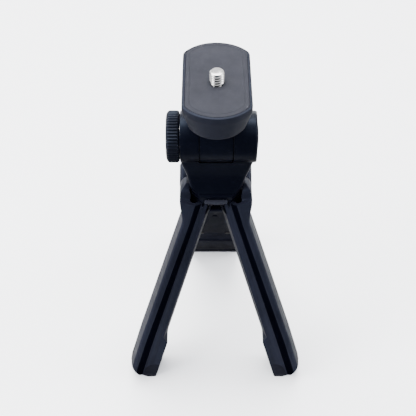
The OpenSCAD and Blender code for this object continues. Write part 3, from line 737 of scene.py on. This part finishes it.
# What is cut off the top front of a shell, seen from the side as (y, z)
SHOULDER_CUT = [(-8, 130), (-8, 110.2), (-8.6, 109.4), (-10.2, 108.7), (-11.5, 107.5), (-12.4, 105.6),
                (-12.9, 103.6), (-13.4, 103.05), (-14.4, 103), (-40, 103), (-40, 130)]
FRONT_HINGE = Matrix.Translation((-HINGE_D, -HINGE_D, HINGE_Z)) @ Matrix.Rotation(radians(-45), 4, "Z")
REAR_HINGE = Matrix.Translation((0, REAR_Y, HINGE_Z)) @ Matrix.Scale(-1, 4, Vector((0, 1, 0)))
SHIFT = Matrix.Translation((0, -MID, 0))


def swing(point, axis, angle):
    return (SHIFT @ Matrix.Translation(point) @ Matrix.Rotation(angle, 4, Vector(axis))
            @ Matrix.Translation(-Vector(point)))


FRONT_PLACE = swing((-HINGE_D, -HINGE_D, HINGE_Z), (-1, 1, 0), FRONT_OPEN)
REAR_PLACE = swing((0, REAR_Y, HINGE_Z), (1, 0, 0), REAR_OPEN)


def hinge_bore(matrix, radius, half):
    rings = [[matrix @ Vector((x, radius * cos(pi * k / 32), radius * sin(pi * k / 32)))
              for k in range(64)] for x in (-half, half)]
    return loft(rings)


def front_toe():
    return moved(extrude(toe_outline(13.6, FRONT_OPEN), "x", -40, 40), FRONT_HINGE)


def rear_toe():
    return moved(extrude(toe_outline(10.3, REAR_OPEN), "x", -40, 40), REAR_HINGE)


def toe_corner():
    """Keeps all but the corner where a front leg's toe meets its outer side."""
    ray = Vector((-0.097, 0.51, -0.855)).normalized()
    across = ray.cross(Vector((0, 0, 1))).normalized()
    up = across.cross(ray)
    radius, centre_x, centre_z = 8.0, -45.33, -27.9
    pts = [(100, 100), (-56, 100), (-56, -15)]
    pts += [(centre_x + radius * cos(radians(a)), centre_z + radius * sin(radians(a)))
            for a in range(164, 271, 3)]
    place = Matrix((across, ray, up)).transposed().to_4x4()
    return moved(extrude(pts + [(100, -60)], "y", -200, 200), place)


def front_space():
    """The room of the left front leg: above the floor and clear of the other two legs."""
    return box_mesh((-100, -100 - MID, 0), (-GAP, -GAP - MID, 200))


def rear_space():
    return box_mesh((-50, GAP - MID, 0), (50, 100 - MID, 200))


def front_leg_shell():
    shell = keep(loft([front_ring(z) for z in LEVELS]), front_toe(), side_toe())
    shell = cut(shell, loft([front_hollow(z) for z in HOLLOW_LEVELS]),
                extrude(SHOULDER_CUT, "x", -40, 40),
                box_mesh((-3.9, -30, 97.6), (5.1, 1, 140)), box_mesh((-12.2, -30, 103.3), (4.8, 1, 140)),
                hinge_bore(FRONT_HINGE, 4.5, 5.5), hinge_bore(FRONT_HINGE, 1.9, 10),
                extrude(foot_outline(FOOT_U, FOOT_LOW - 1, FOOT_TOP, 0.05), "y", -40, 0.5))
    return keep(moved(shell, FRONT_PLACE), toe_corner(), front_space())


def front_leg_foot():
    foot = keep(loft([front_ring(z) for z in LEVELS]),
                extrude(foot_outline(FOOT_U, FOOT_LOW, FOOT_TOP), "y", -40, 0.4), front_toe(), side_toe())
    return keep(moved(foot, FRONT_PLACE), toe_corner(), front_space())


def rear_foot_cutter(grow, depth):
    half = foot_outline(11.5, FOOT_LOW - grow, FOOT_TOP + 1, grow)[1:-1]
    full = half + [(-x, z) for x, z in half[::-1]]
    return extrude(full, "y", *depth)


def rear_leg_shell():
    shell = keep(loft([rear_ring(z) for z in LEVELS]), rear_toe())
    shell = cut(shell, loft([rear_hollow(z) for z in HOLLOW_LEVELS]),
                extrude([(-y, z) for y, z in SHOULDER_CUT], "x", -40, 40),
                hinge_bore(REAR_HINGE, 4.5, 7.9), rear_foot_cutter(0.05, (-0.5, 40)))
    return keep(moved(shell, REAR_PLACE), rear_space())


def rear_leg_foot():
    foot = keep(loft([rear_ring(z) for z in LEVELS]), rear_foot_cutter(0, (-0.4, 40)), rear_toe())
    return keep(moved(foot, REAR_PLACE), rear_space())


def in_groove(p):
    """The steep wall beside a front leg's channel, from the floor up to the ridge, which gets the painted shade.
    """
    return crease_u(p.z) < -p.x < ridge_u(p.z) and -p.y > 13 and p.z < 103


SHELL_EDGE, FOOT_EDGE, EDGE_ANGLE = 0.22, 0.3, 38
shell = soften(front_leg_shell(), SHELL_EDGE, EDGE_ANGLE)
foot = soften(front_leg_foot(), FOOT_EDGE, EDGE_ANGLE)
for side in ("left", "right"):
    for part, bm, slot, material in (("shell", shell, "black_leg", LEG), ("foot", foot, "foot_rubber", FOOT)):
        copy = bm.copy()
        if side == "right":
            copy = flip_x(copy)
        obj = piece(f"{side}_{part}", copy, f"leg_{side}", slot, material, f"leg_{side}_{part}")
        # Painted shade on the channel walls of each front leg's shell and foot.
        tint(obj, GROOVE_SHADE, FRONT_PLACE, in_groove)
shell.free()
foot.free()
piece("rear_shell", soften(rear_leg_shell(), SHELL_EDGE, EDGE_ANGLE), "leg_rear", "black_leg", LEG,
      "leg_rear_shell")
piece("rear_foot", soften(rear_leg_foot(), FOOT_EDGE, EDGE_ANGLE), "leg_rear", "foot_rubber", FOOT,
      "leg_rear_foot")


# ---- CAD nodes kept, or kept with rounded edges --------------------------

# node: (body, slot, material, width of its rounded edges)
SOFT = {"hub": ("hub", "black_body", BODY, 0.3), "pin_cover": ("hub", "black_body", TAB_PAINTED_LIGHT, 0.3),
        "leg_left_core": ("leg_left", "leg_core", CORE, 0.2),
        "leg_right_core": ("leg_right", "leg_core", CORE, 0.2),
        "leg_rear_core": ("leg_rear", "leg_core", CORE, 0.2)}
REAR_PAD_TOP, TAB_LOW = 17, 105.4
for node, (body_name, slot, material, width) in SOFT.items():
    obj = piece(node + "_part", soften(node_mesh(node), width, 40), body_name, slot, material, node)
    if node == "leg_rear_core":
        tint(obj, FOOT, REAR_PLACE, lambda p: p.z < REAR_PAD_TOP)
    # The pin cover takes the paler painted light above TAB_LOW and the plain body plastic below it.
    if node == "pin_cover":
        tint(obj, BODY, Matrix.Identity(4), lambda p: p.z < TAB_LOW)

KEPT = {"steel": STEEL, "dark_steel": DARK_STEEL, "stud_steel": STUD, "brass": BRASS,
        "friction_plastic": WASHER, "black_body": BODY, "black_leg": LEG, "leg_core": CORE,
        "knob_plastic": KNOB, "pad_rubber": PAD, "foot_rubber": FOOT}
for part in frame["record"]["subparts"]:
    obj = frame["nodes"][part["node"]]
    material = KEPT[part["material_slot"]]
    if not obj.material_slots:
        obj.data.materials.append(material)
    for material_slot in obj.material_slots:
        material_slot.material = material


# ---- stage, light and camera ---------------------------------------------

def stage_plane(name, points, faces, material):
    mesh = bpy.data.meshes.new(name)
    mesh.from_pydata(points, [], faces)
    for f in mesh.polygons:
        f.use_smooth = True
    obj = bpy.data.objects.new(name, mesh)
    bpy.context.scene.collection.objects.link(obj)
    obj.data.materials.append(material)
    return obj


def paper(name, value):
    n = Nodes(name)
    n.link(n.ramp(n.noise(3, 3), (value * 0.985,) * 3, (value, value, value * 1.01)),
           n.shader.inputs["Base Color"])
    n.shader.inputs["Roughness"].default_value = 0.55
    n.shader.inputs["Specular IOR Level"].default_value = 0.3
    return n.material


def sweep():
    """A floor that curves up into the wall behind."""
    bend_y, bend_r, half = 0.7, 0.6, 3.0
    profile = [(-2.5, 0.0), (bend_y, 0.0)]
    profile += [(bend_y + bend_r * sin(a), bend_r - bend_r * cos(a))
                for a in [pi / 2 * k / 24 for k in range(1, 25)]]
    profile.append((bend_y + bend_r, 2.5))
    points = [(x, y, z) for y, z in profile for x in (-half, half)]
    faces = [(2 * k, 2 * k + 1, 2 * k + 3, 2 * k + 2) for k in range(len(profile) - 1)]
    return stage_plane("sweep", points, faces, paper("paper", 0.94))


sweep()


def area_light(name, place, target, size, power, colour=(1, 1, 1)):
    lamp = bpy.data.lights.new(name, "AREA")
    lamp.shape, lamp.size, lamp.size_y = "RECTANGLE", size[0], size[1]
    lamp.energy, lamp.color = power, colour
    obj = bpy.data.objects.new(name, lamp)
    bpy.context.scene.collection.objects.link(obj)
    obj.location = place
    obj.rotation_euler = (Vector(target) - Vector(place)).to_track_quat("-Z", "Y").to_euler()
    return obj


def dark_card(name, points, value=0.001):
    """A dark card that only reflections see, as photographers set beside glossy products."""
    n = Nodes(name)
    n.shader.inputs["Base Color"].default_value = (value, value, value, 1)
    n.shader.inputs["Roughness"].default_value = 1.0
    n.shader.inputs["Specular IOR Level"].default_value = 0.0
    card = stage_plane(name, points, [(0, 1, 2, 3)], n.material)
    card.visible_camera = card.visible_diffuse = card.visible_shadow = False
    card.visible_transmission = card.visible_volume_scatter = False


dark_card("front_card", [(-0.9, -0.6, -0.02), (0.9, -0.6, -0.02), (0.9, -0.6, 1.1), (-0.9, -0.6, 1.1)])
dark_card("floor_card", [(-0.5, -0.6, 0.001), (0.5, -0.6, 0.001), (0.2, -0.07, 0.001), (-0.2, -0.07, 0.001)])
dark_card("rear_card", [(-1.2, -0.12, 0.0015), (1.2, -0.12, 0.0015), (1.2, 1.25, 0.0015),
                        (-1.2, 1.25, 0.0015)], 0.2)

area_light("top", (-0.15, 0.45, 1.15), (0, 0, 0.1), (1.1, 0.7), 44, (1, 1, 1))
area_light("left", (-0.95, -0.25, 0.7), (0, 0, 0.08), (0.6, 0.8), 18, (0.97, 0.98, 1))
area_light("right", (0.95, 0.1, 0.6), (0, 0, 0.08), (0.4, 0.8), 9, (0.95, 0.97, 1))

world = bpy.data.worlds.new("studio")
bpy.context.scene.world = world
world.use_nodes = True
world.node_tree.nodes["Background"].inputs["Color"].default_value = (0.93, 0.95, 1, 1)
world.node_tree.nodes["Background"].inputs["Strength"].default_value = 2.4

camera = bpy.data.cameras.new("camera")
camera.lens, camera.sensor_width = 66.9, 36
camera.clip_start, camera.clip_end = 0.01, 20
holder = bpy.data.objects.new("camera", camera)
bpy.context.scene.collection.objects.link(holder)
holder.location = (-0.0038, (-264.3 - MID) * MM, 0.3758)
LOOK_DOWN = 47.5
holder.rotation_euler = (radians(90 - LOOK_DOWN), 0, 0)
bpy.context.scene.camera = holder
